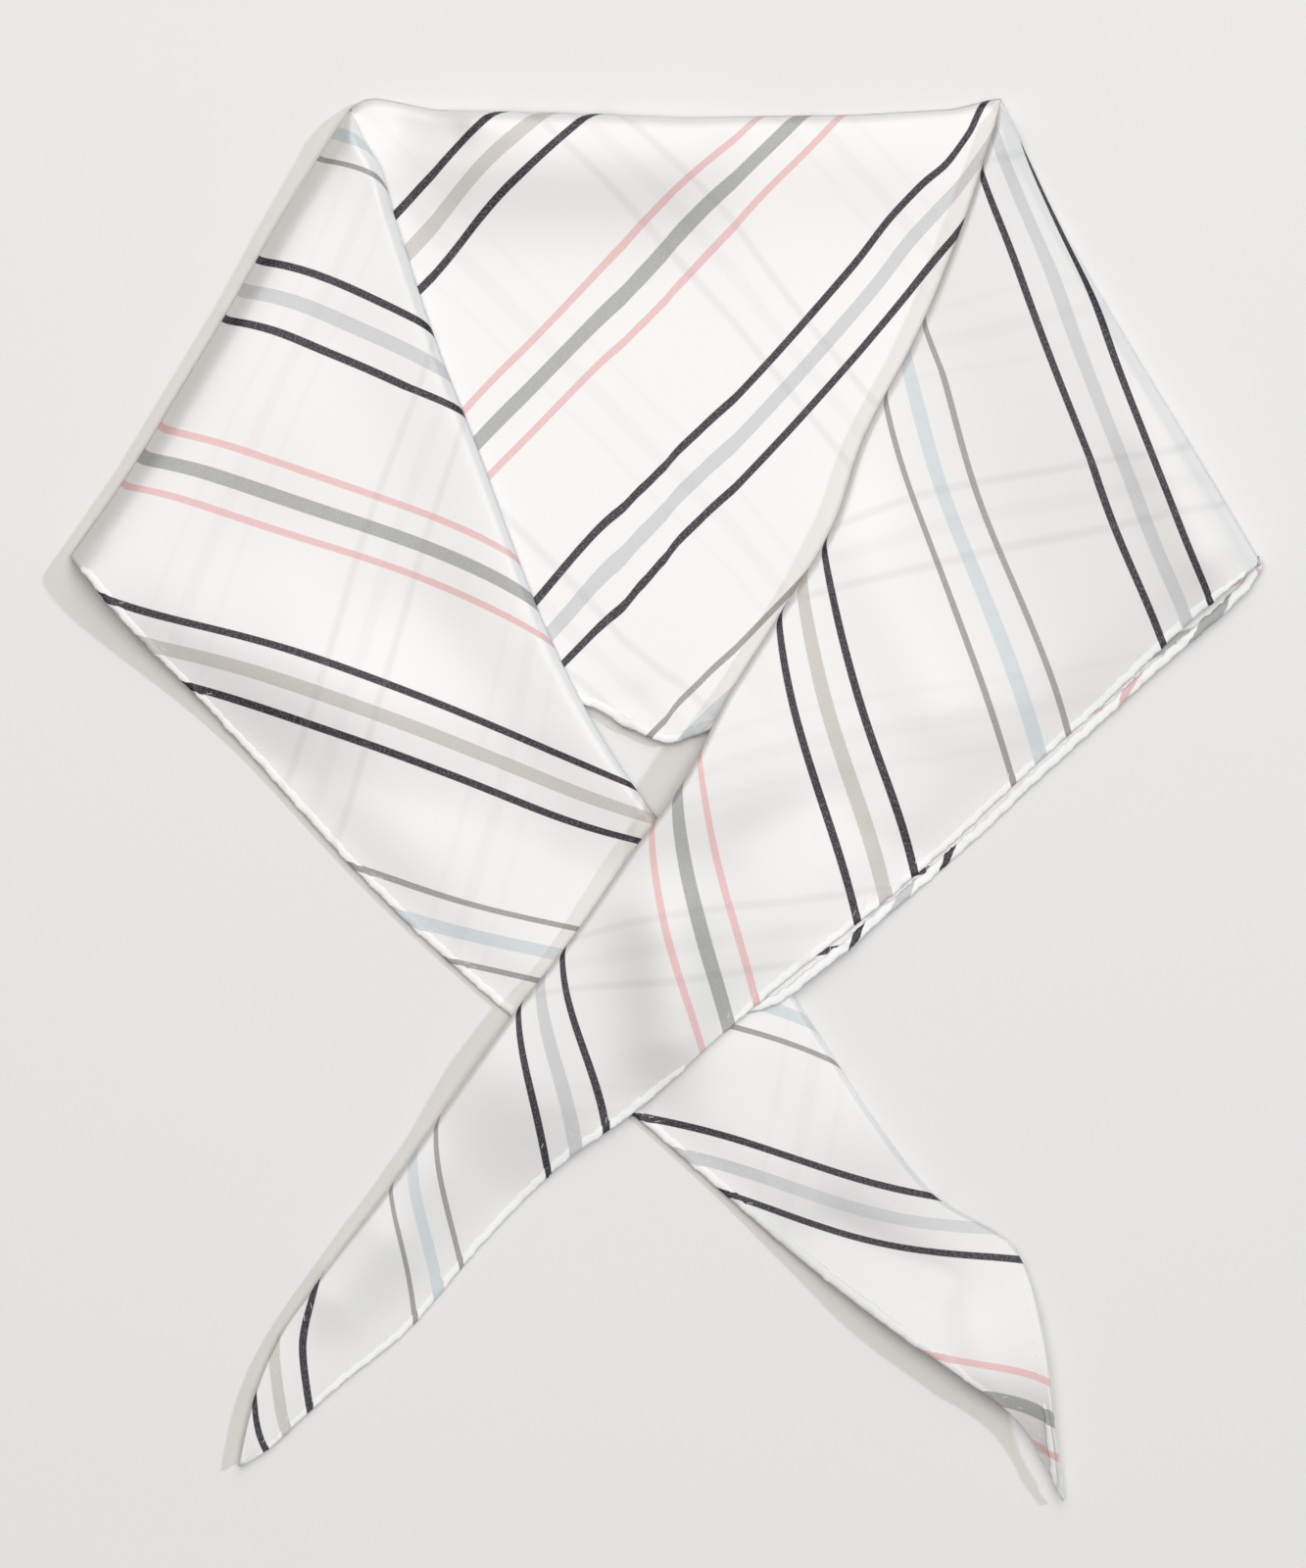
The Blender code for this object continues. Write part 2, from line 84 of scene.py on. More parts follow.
# The ends, a row for each section across: the label along the diagonal, the fold's x and y, the
# edge's x and y (the shoulder, and past its corner the hem), the print's place at fold and edge, the
# fold's roll, how far fold and edge are lifted, and how far the print is pulled half-way across.
left_rows = np.array([
    (110.3, -107.1, 235.0, -107.3, 235.1, -110.3, -110.3, 2.6, 0, 0, 0),
    (120.0, -103.9, 225.9, -117.4, 219.5, -120.0, -140.2, 2.8, 0, 0, -1),
    (133.3, -97.4, 214.5, -131.1, 197.8, -133.7, -177.0, 3.0, 0, 0, -3.5),
    (150.0, -92.7, 198.5, -146.9, 169.9, -152.1, -221.0, 2.9, 0, 0, -4.3),
    (166.7, -87.6, 182.7, -163.5, 142.4, -171.1, -264.8, 2.9, 0, 0, -4.3),
    (183.3, -82.4, 166.8, -180.1, 115.0, -190.2, -306.8, 2.9, 0, 0, -3.4),
    (204.7, -75.3, 146.7, -202.8, 82.5, -212.1, -362.9, 2.9, 0, 0, -2.4),
    (233.3, -64.7, 120.1, -183.7, 59.2, -243.6, -384.7, 2.9, 0, 0, -2.4),
    (266.7, -53.2, 88.8, -159.0, 34.2, -278.6, -411.6, 2.9, 0, 0, -3.6),
    (300.0, -41.0, 57.8, -135.4, 8.2, -312.9, -435.6, 3.0, 0, 0, -4.9),
    (333.3, -26.2, 28.1, -111.9, -17.9, -346.4, -459.6, 2.6, 0, 0, -4.5),
    (366.7, -8.2, 0.1, -87.3, -43.0, -380.4, -482.5, 2.0, 0, 0, -1.6),
    (400.0, 12.3, -26.2, -61.3, -66.6, -416.7, -508.4, 1.8, 0, 0, -1),
    (433.3, 33.0, -52.4, -34.2, -89.0, -449.7, -532.0, 2.0, 0, 0, -1),
    (466.7, 51.5, -79.9, -6.9, -111.2, -482.2, -555.9, 2.6, 0, 0, -2),
    (500.0, 69.7, -107.8, 19.6, -134.3, -514.5, -583.6, 2.8, 0, 0.5, 1.5),
    (533.3, 90.2, -134.0, 46.3, -157.1, -549.2, -606.3, 2.5, 0.5, 2.6, 3.5),
    (571.3, 120.5, -156.5, 78.1, -181.4, -583.0, -632.2, 1.5, 4.0, 6.2, 3.0),
    (594.3, 128.0, -182.7, 100.3, -196.6, -619.3, -647.8, 0.9, 7.5, 6.8, 0),
    (617.7, 131.3, -210.1, 121.1, -213.4, -654.2, -666.0, 0.9, 8.6, 5.2, 0),
    (636.3, 134.2, -232.4, 131.7, -232.7, -680.8, -682.6, 0.8, 5.0, 4.2, 0),
    (641.3, 134.8, -238.2, 134.4, -238.3, -687.0, -687.4, 0.8, 3.6, 3.6, 0)])
right_rows = np.array([
    (110.3, 113.5, 238.0, 113.7, 238.1, 126.7, 128.3, 2.6, 0, 0, 0),
    (120.0, 111.3, 227.6, 121.9, 219.9, 137.3, 121.5, 2.8, 0, 0, 0),
    (133.3, 107.3, 215.1, 133.2, 196.1, 152.0, 119.0, 3.0, 0, 0, 0),
    (150.0, 102.1, 199.2, 149.5, 167.6, 169.2, 114.1, 3.2, 0, 0, 0),
    (166.7, 96.1, 183.7, 165.6, 140.7, 186.3, 104.6, 3.3, 0, 0, 0),
    (183.3, 89.8, 168.2, 183.6, 111.2, 203.5, 94.9, 3.3, 0, 0, 0),
    (201.3, 82.2, 151.9, 201.8, 80.5, 224.3, 86.0, 3.3, 0, 0, 0),
    (233.3, 67.3, 123.6, 176.1, 58.7, 258.2, 138.6, 3.3, 0, 0, -4.4),
    (266.7, 56.1, 92.3, 150.7, 34.4, 293.2, 185.4, 3.3, 0, 0, -5.0),
    (300.0, 39.0, 63.7, 124.6, 10.9, 329.0, 229.1, 3.3, 0, 0, -4.8),
    (333.3, 21.2, 35.5, 99.0, -13.2, 363.8, 273.6, 3.2, 0, 0, -4.8),
    (366.7, 5.8, 6.2, 72.4, -36.1, 398.6, 316.1, 3.0, 0, 0, -4.2),
    (400.0, -13.8, -20.8, 44.9, -58.0, 434.8, 361.5, 2.8, 0, 0, -3.6),
    (433.3, -32.8, -48.1, 18.0, -80.6, 470.2, 406.1, 2.8, 0, 0, -3.6),
    (466.7, -53.2, -74.4, -8.1, -104.1, 512.7, 453.5, 3.0, 0, 0, -3),
    (500.0, -72.6, -101.3, -36.5, -124.8, 552.6, 498.0, 3.2, 0.5, 0, -2),
    (533.3, -91.7, -128.6, -61.1, -149.4, 589.5, 543.8, 3.2, 1.0, 0, -1),
    (577.3, -118.1, -163.4, -91.8, -184.0, 649.0, 603.1, 1.5, 2.0, 0, 0),
    (598.3, -131.3, -182.3, -109.1, -197.5, 661.7, 629.4, 0.9, 2.5, 0.5, 0),
    (619.7, -140.2, -203.4, -125.7, -212.0, 680.8, 657.1, 0.9, 3.0, 1.0, 0),
    (637.0, -144.6, -221.7, -139.4, -223.6, 693.8, 686.8, 0.8, 3.0, 2.0, 0),
    (641.3, -145.6, -226.6, -144.9, -226.8, 699.0, 697.0, 0.8, 3.0, 2.4, 0)])
end_tables = {left: left_rows, right: right_rows}
corner_row, opened_row = 6, 17  # of both tables: the shoulder's corner, and where the fold is open
# How far the lower hem of the right end shows past the upper one, and how far its print is moved on
# there, by the label along the diagonal
lower_hem = np.array([
    (196, 0.8, 19), (201.3, 1.3, 19), (210, 4.5, 19), (222, 6.0, 19), (244, 5.2, 18),
    (262, 4.2, 12), (285, 4.5, 10), (330, 4.6, 6), (372, 4.4, 6), (385, 5.4, 4), (404, 5.4, 4),
    (414, 4.6, 2), (424, -1.0, 0), (642, -1.0, 0)])

# Soft ridges and troughs of the top ply: their two ends, reach to both sides, and height
creases = [
    (-60, 224, 2, 223, 25, 5.0), (-90, 229, -72, 226, 6, -1.0), (-66, 231, -56, 228, 5, 0.7),
    (55, 226, 75, 222, 22, 1.4), (-12, 33.5, -11, 33, 6, -0.5), (-110, 152, -84, 98, 20, -0.5),
    (-80, 65, -47, 15, 18, -0.7), (-127, 65, -87, -12, 20, 0.7), (58, -146, 93, -165, 9, -1.3),
    (101, -171, 107, -195, 6, 0.5), (-140, 85, -100, 60, 25, -0.7), (67, 85, 93, 32, 16, 0.8),
    (30, -11, 57, 2, 8, -0.3), (0, -46, 4, -80, 16, 2.2), (-96, -152, -112, -168, 12, 1.8),
    (168, 120, 183, 86, 13, 1.2)]

# Where the middle's print is pulled out of its straight lines: two ends, reach and shift
pulls = [
    (-70, 217, 25, 206, 28, 4.6), (-42, 55, -20, 58, 24, -3.4), (101.5, 226, 95, 217, 8, -3.4),
    (70, 202, 82, 190, 12, 1.4)]
right_pull_peak = 1.69  # brings the right end's pull back to its table's, as it lies nearer the fold
pull_under_fold = 0.4  # share of the bottom ply in which a pull at the top fold dies away

# Heights
pair, tip_thick, hem_thick = 3.0, 1.6, 1.3  # of two plies: anywhere, near the tips and at their hems
tip_thin_from, hem_thin_reach = 520.0, 15.0  # label where they thin, and how far in from the hem
least_thick = 0.9
table_gap, layer_gap, ply_gap = 0.15, 0.35, 0.2  # under the middle, an end, and an end's lower ply
plies_part = 0.25  # least height between an end's plies, one millimetre in from the fold
bridge = 10.0  # how far cloth stays up past an edge below it
settle, settle_uphill = 42.0, 75.0  # and over what it then comes down
uphill_x, uphill_y = 0.8, 0.6  # the way up along the right end, which comes down more gently
uphill_band = 15.0  # on that side of the crossing; the change takes this far to both sides

# Soft folds
turn_power = 0.8  # a soft turn's profile: 0.5 is round, 1 is a blunt wedge
top_roll, left_roll = 2.8, 2.9  # height of the middle's and of the left end's fold line
fold_follows = 0.45  # of a ridge across the top fold, how much lifts the fold itself
swell_share, swell_reach = 0.7, 36.0  # of a soft fold's roll, how much rises and how far in it runs
swell_width = 0.42  # the most of a narrow end's width that its swelling takes
fold_plan = {left: 1.3, right: 0.5}  # a soft fold's turn in plan, as a share of its height
turn_width = 0.3  # the most of a narrow end's width that its turn takes
left_tightened, left_tight_labels = 0.5, (370.0, 430.0)  # the left fold's turn beyond the crossing
tuck, tuck_reach = {left: 2.2, right: 1.6}, {left: 7.0, right: 3.0}  # cloth taken up, and how far in
lower_tuck, lower_tuck_reach = 3.8, 7.5  # the same for the right end near its tip
lower_tuck_labels = (380.0, 460.0)
opening_from = 485.0  # label from which an end's lower ply draws back and its fold begins to open
ledge_labels = (480.0, 540.0)  # where its hem comes back under the upper one
left_ledge = -0.6  # the left end's lower hem lies this far inside its upper one
lower_stops = 5.0  # labels before the fold is open, where the lower ply has come up to it

# Shoulders
turn_radius = {left: 6.5, right: 4.6}  # of the cloth's turn at a shoulder, in plan
turn_spread = 2.5  # the turn's points reach this many times as far in
under_radius = 2.5  # of the same turn in the middle's plies below
ply_apart = 0.9  # the inner ply's turn at a shoulder lies this far inside the outer one's
apart_fades = 6.0  # and comes together over this stretch before the corner
below_end, least_below = 0.6, 2.0  # the middle's top ply there: under the end's height, or at least
rise_over = 10.0  # labels over which an end's fold leaves the middle's
corner_shows = 10.0  # labels past the corner in which the shoulder's turn still shows
sewn_labels = (4.0, 40.0)  # past the corner, where the hem comes to hold the plies together
shoulder_tuck, shoulder_tuck_reach = 2.0, 3.0  # cloth that the shoulder takes up, and how far in
shoulder_tuck_labels = (-15.0, 50.0)  # from the corner, where that fades
left_arch, left_arch_reach, left_arch_fade = 4.0, 6.0, 70.0  # rise beside the left shoulder
right_arch, right_arch_in = 2.2, 16.0  # crest of the right end beside its shoulder, and how far in
right_arch_out_reach, right_arch_in_reach = 16.0, 34.0
right_arch_least, right_arch_grows = 0.35, (235, 150)  # share of it at the top, and y where it grows

# Steps of the mesh: across each ply, along each stretch, and in a path before it is laid out
upper_steps, under_steps, top_steps, bottom_steps = 44, 18, 60, 20
shoulder_steps, end_steps, tip_steps, middle_steps = 44, 150, 34, 96
path_steps, outline_steps = 90, 120
even_share = 0.45  # how evenly the steps across a ply lie; the rest of it draws them to the folds
least_width = 0.05


def curve(rows, at, corner=corner_row):
    """Rows of a table along a smooth curve, which may bend sharply at its corner row."""
    out = np.empty((len(at), rows.shape[1] - 1))
    for part, here in ((rows[:corner + 1], at <= rows[corner, 0]),
                       (rows[corner:], at > rows[corner, 0])):
        s, v = part[:, 0], part[:, 1:]
        slope = np.gradient(v, s, axis=0)
        k = np.clip(np.searchsorted(s, at[here], side="right") - 1, 0, len(s) - 2)
        span = (s[k + 1] - s[k])[:, None]
        t = ((at[here] - s[k]) / (s[k + 1] - s[k]))[:, None]
        out[here] = (v[k] * (1 + 2 * t) * (1 - t) ** 2 + v[k + 1] * t * t * (3 - 2 * t)
                     + slope[k] * span * t * (1 - t) ** 2 - slope[k + 1] * span * t * t * (1 - t))
    return out


def ramp(x, low, high):
    """Smoothly from 0 at low to 1 at high."""
    t = np.clip((x - low) / (high - low), 0, 1)
    return t * t * (3 - 2 * t)


def rounded(inside, radius):
    """A soft turn's profile, 0 at its edge and 1 from this radius inwards."""
    share = np.clip(inside, 0, radius) / max(radius, 1e-9)
    return np.clip(1 - (1 - share) ** 2, 0, 1) ** turn_power


def near(points, line):
    """Distance from points to an open line."""
    a, step = line[:-1], np.diff(line, axis=0)
    t = ((points[:, None] - a) * step).sum(-1) / np.maximum((step ** 2).sum(-1), 1e-12)
    t = np.clip(t, 0, 1)[..., None]
    return np.linalg.norm(points[:, None] - a - t * step, axis=-1).min(axis=1)


def past(points, outline):
    """Distance past a closed outline, 0 within it."""
    a, b = outline, np.roll(outline, -1, axis=0)
    x, y = points[:, :1], points[:, 1:]
    crosses = (a[:, 1] > y) != (b[:, 1] > y)
    rise = np.where(b[:, 1] == a[:, 1], 1, b[:, 1] - a[:, 1])
    beside = x < a[:, 0] + (b[:, 0] - a[:, 0]) * (y - a[:, 1]) / rise
    within = (crosses & beside).sum(axis=1) % 2 == 1
    return np.where(within, 0, near(points, np.vstack([a, a[:1]])))


def drape(points):
    """Height of the ridges and troughs at points."""
    total = np.zeros(len(points))
    for x0, y0, x1, y1, reach, height in creases:
        line = np.array([(x0, y0), (x1, y1)], float)
        total += height * np.exp(-(near(points, line) / reach) ** 2)
    return total


def pulled(points):
    """How far the middle's print is moved on at its top ply's points."""
    total = np.zeros(len(points))
    for x0, y0, x1, y1, reach, shift in pulls:
        line = np.array([(x0, y0), (x1, y1)], float)
        total += shift * np.exp(-(near(points[:, :2], line) / reach) ** 2)
    return total


def swell(off, roll, reach=swell_reach):
    """How far a soft fold lifts its top ply at a distance from the fold."""
    return swell_share * (2 * roll - pair) * np.exp(-(np.maximum(0, off - roll) / reach) ** 2)


def middle_top(points):
    """Height of the middle's top ply."""
    return pair + swell(near(points, top_fold), top_roll) + drape(points)


def end_top(points, side, swelling, lift, thick=pair):
    """Height of an end's top ply, before its turn at the shoulder."""
    inside = near(points, shoulders[side])
    arch = left_arch * (1 - np.exp(-inside / left_arch_reach))
    arch = arch * np.exp(-(inside / left_arch_fade) ** 2)
    if side == right:
        reach = np.where(inside < right_arch_in, right_arch_out_reach, right_arch_in_reach)
        arch = right_arch * np.exp(-((inside - right_arch_in) / reach) ** 2)
        grown = ramp(points[:, 1], *right_arch_grows)
        arch = arch * (right_arch_least + (1 - right_arch_least) * grown)
    return floor_under(points, side) + thick + np.hypot(swelling, arch) + drape(points) + lift


def floor_under(points, side):
    """Height that an end rests at: on the table, the middle, or for the right end the left one."""
    down = settle if side == left else settle_uphill
    fall = 1 - ramp(past(points, middle_outline), bridge, bridge + down)
    height = (middle_top(points) + layer_gap) * fall
    if side == right:
        below = end_top(points, left, swell(near(points, left_fold), left_roll), 0.0)
        halfway = left_fold[len(left_fold) // 2]
        beside = uphill_x * (points[:, 0] - halfway[0]) + uphill_y * (points[:, 1] - halfway[1])
        down = settle + (settle_uphill - settle) * ramp(beside, -uphill_band, uphill_band)
        fall = 1 - ramp(past(points, left_outline), bridge, bridge + down)
        height = np.maximum(height, (below + layer_gap) * fall)
    return height + table_gap


def hem_at(x):
    """The middle's hem at x."""
    return np.array([x, np.interp(x, point_hem[:, 0], point_hem[:, 1])])


def through_turn(into, roll, low, high):
    """Heights of a ply that comes round a fold: from the fold's middle out to its own height."""
    settled = high[np.argmax(into >= roll)]
    return np.where(into > roll, high, low + (settled - low) * rounded(into, roll))


def laid(path, shares, extra=0.0, within=3.0, end_extra=0.0, high=None):
    """Points at these shares of a path's cloth; turns at its start and end may take extra."""
    along = path if high is None else np.column_stack([path[:, :2], high])
    run = np.r_[0, np.cumsum(np.linalg.norm(np.diff(along, axis=0), axis=1))]
    at_end = np.exp((run - run[-1]) / shoulder_tuck_reach)
    run = run + extra * (1 - np.exp(-run / within)) + end_extra * at_end
    return np.stack([np.interp(shares * run[-1], run, path[:, c]) for c in range(3)], axis=1)


def closer_at_ends(count):
    """Shares from 0 to 1 that lie closer together at both ends."""
    t = np.linspace(0, 1, count + 1)
    return even_share * t + (1 - even_share) / 2 * (1 - np.cos(math.pi * t))


shoulders = {side: rows[:corner_row + 1, 3:5] for side, rows in end_tables.items()}
middle_outline = np.vstack([top_fold, shoulders[right][1:], point_hem[::-1], shoulders[left][::-1]])
left_table = curve(left_rows, np.linspace(shoulder_start, half_long, outline_steps))
left_fold = left_table[:, 0:2]
left_outline = np.vstack([left_fold, left_table[::-1, 2:4]])
# Labels at the corners and where the ends turn over, and the x that the cloth below comes from
corner_labels = (-left_rows[corner_row, 0], -shoulder_start, shoulder_start, right_rows[corner_row, 0])
corner_xs = (left_rows[corner_row, 3], left_rows[0, 1], right_rows[0, 1], right_rows[corner_row, 3])

# Steps round a soft turn, and in the middle's plies from an end's turn above them down to the hem
quarter = np.linspace(0, math.pi / 2, 10)
below_shares = np.r_[0, 0.02, 0.05, 0.09, 0.14, np.linspace(0.2, 1, 24)][:, None]
upper_shares, under_shares = closer_at_ends(upper_steps), closer_at_ends(under_steps)
top_shares, bottom_shares = closer_at_ends(top_steps), closer_at_ends(bottom_steps)
vertices, prints, faces = [], [], []  # the cloth: points, (print, way from the fold), corners
# Hems by half: label, edge, outward, the print at the edge, its rate outwards and the fold's print
hems = {back: [], front: []}
on_hem, under_hem, on_fold = (0, 0, -0.1), (0, 0, 0.2), (0, 0, -0.3)  # from a ply's edge to its hem
bottom_hem_height = 0.55
hem_opens, hem_turns = 3.0, 4.0  # before the fold is open, and over what, the hem goes over to it


def add_row(points, places, fold_print):
    """A row of the cloth's points; returns their numbers."""
    first = len(vertices)
    vertices.extend(points)
    prints.extend((u, u - fold_print) for u in places)
    return np.arange(first, first + len(points))


def add_middle(top, bottom, top_print, bottom_print, fold_print, at_fold=True):
    """A row of each of the middle's plies; returns the top one's path and print, and both rows."""
    top = laid(top, top_shares)
    moved_on = pulled(top)
    if at_fold:
        bottom_print = bottom_print + moved_on[0] * (1 - ramp(bottom_shares, 0, pull_under_fold))
    return (top, top_print + moved_on, add_row(top, top_print + moved_on, fold_print),
            add_row(laid(bottom, bottom_shares), bottom_print, fold_print))


def add_middle_hems(a, top, bottom, top_print, bottom_print, fold_print):
    """The hems of the middle's plies at label a, which both point down the table."""
    down = np.array([0, -1.0, 0])
    spot = np.array([*bottom[-1, :2], bottom_hem_height])
    hems[front].append((a, top[-1] + on_hem, down, top_print, 1.0, fold_print))
    hems[back].append((a, spot, down, bottom_print, -1.0, fold_print))


def join(rows, flip=False):
    """Quads between rows of equal length."""
    for one, two in zip(rows, rows[1:]):
        for a, b, c, d in zip(one, one[1:], two[1:], two):
            faces.append((d, c, b, a) if flip else (a, b, c, d))


def middle_print(a):
    """The print's place at label a of the middle's top fold."""
    return a + np.interp(a, stretch_labels, stretched)


def middle_rows(a):
    """The middle's two plies across label a, between the shoulders: top and bottom paths."""
    x = a + label_shift
    top, hem = np.interp(x, top_fold[:, 0], top_fold[:, 1]), hem_at(x)
    length = top - hem[1]
    into = np.r_[top_roll * (1 - np.cos(quarter)), np.linspace(top_roll + 1, length, path_steps)]
    plan = np.stack([0 * into + x, top - into], axis=1)
    lifted = top_roll + fold_follows * drape(plan[:1])[0]
    high = through_turn(into, top_roll, lifted, middle_top(plan))
    low = through_turn(into, top_roll, lifted, 0 * into + table_gap)
    return np.column_stack([plan, high]), np.column_stack([plan, low])


def turned_rows(side, s, edge, inner, edge_height, inner_height):
    """The middle's two plies where an end turns over them, from the shoulder to the hem."""
    far = hem_at(np.interp(side * s, corner_labels, corner_xs))
    paths = []
    for start, height, is_top in ((inner, inner_height, True), (edge, edge_height, False)):
        plan = start + (far - start) * below_shares
        turn = rounded(near(plan, shoulders[side]) - ply_apart * is_top, under_radius)
        ply = table_gap
        if is_top:
            ply = np.minimum(middle_top(plan), max(2 * height - below_end, least_below))
        paths.append(np.column_stack([plan, height + (ply - height) * turn]))
    return paths


def end_paths(side, s, row, inner):
    """An end across label s: upper and lower path, the lower's reach, the upper's unturned height."""
    corner, open_at = end_tables[side][corner_row, 0], end_tables[side][opened_row, 0]
    fold, edge, ledge = row[0:2], row[2:4], row[10]
    roll, lift_fold, lift_edge = row[6:9]
    width = max(np.linalg.norm(edge - fold), least_width)
    across = (edge - fold) / width
    roll = min(roll, turn_width * width)
    opened = ramp(s, opening_from, open_at)
    risen = ramp(s, shoulder_start, shoulder_start + rise_over)
    thick = pair + (tip_thick - pair) * ramp(s, tip_thin_from, open_at)
    tightened = left_tightened * ramp(s, *left_tight_labels) * (side == left)
    turn = min(fold_plan[side] * roll * (1 - tightened), turn_width * width)
    into = np.union1d(turn * (1 - np.cos(quarter)), np.linspace(0, width, path_steps)[1:])
    by_shoulder = s < corner + corner_shows
    if by_shoulder:
        bend = width - turn_spread * turn_radius[side] * (1 - np.sin(quarter))
        into = np.union1d(into, bend[bend > roll])
    # The upper ply: what it lies on, its swelling and arch, and both its turns
    plan = fold + across * into[:, None]
    lift = lift_fold + (lift_edge - lift_fold) * into / width
    base = floor_under(plan, side)
    reach = min(swell_reach, swell_width * width)
    top = end_top(plan, side, swell(into, max(roll, pair / 2), reach), lift, thick)
    sewn = ramp(s, corner + sewn_labels[0], corner + sewn_labels[1])
    top = top - sewn * max(thick - hem_thick, 0) * np.exp(-((width - into) / hem_thin_reach) ** 2)
    top = np.maximum(top, base + lift + least_thick)
    low = (base[0] + lift[0] + roll) * risen + top_roll * (1 - risen)
    high = through_turn(into, turn, low, top)
    inside = near(plan, shoulders[side]) if by_shoulder else np.full(len(plan), turn_radius[side])
    top = high * 0.5 * (1 + rounded(inside, turn_radius[side]))
    # The lower ply, under it: to the shoulder's inner turn, or past the corner to its own hem
    if s < corner:
        reach = max(np.linalg.norm(inner - fold), least_width)
        under_plan = fold + (inner - fold) * (into / width)[:, None]
    else:
        reach = width * (1 - opened) / (1 + opened) + ledge * (1 - ramp(s, *ledge_labels))
        under_plan = fold + across * (into / width * max(reach, least_width))[:, None]
    under_into = into / width * reach
    under = floor_under(under_plan, side) + lift + ply_gap
    under = through_turn(under_into, min(turn, turn_width * reach), low, under)
    under = np.minimum(under, np.interp(under_into, into, top) - plies_part * np.minimum(under_into, 1))
    if s < corner:
        inside = near(under_plan, shoulders[side]) - ply_apart
        under = top[-1] + (under - top[-1]) * rounded(inside, turn_radius[side])
    return np.column_stack([plan, top]), np.column_stack([under_plan, under]), reach, high


def rate_of(one, other, path):
    """How fast the print runs on along a path's plan, at its far end."""
    return (other - one) / max(np.linalg.norm(path[-1, :2] - path[0, :2]), 0.5)


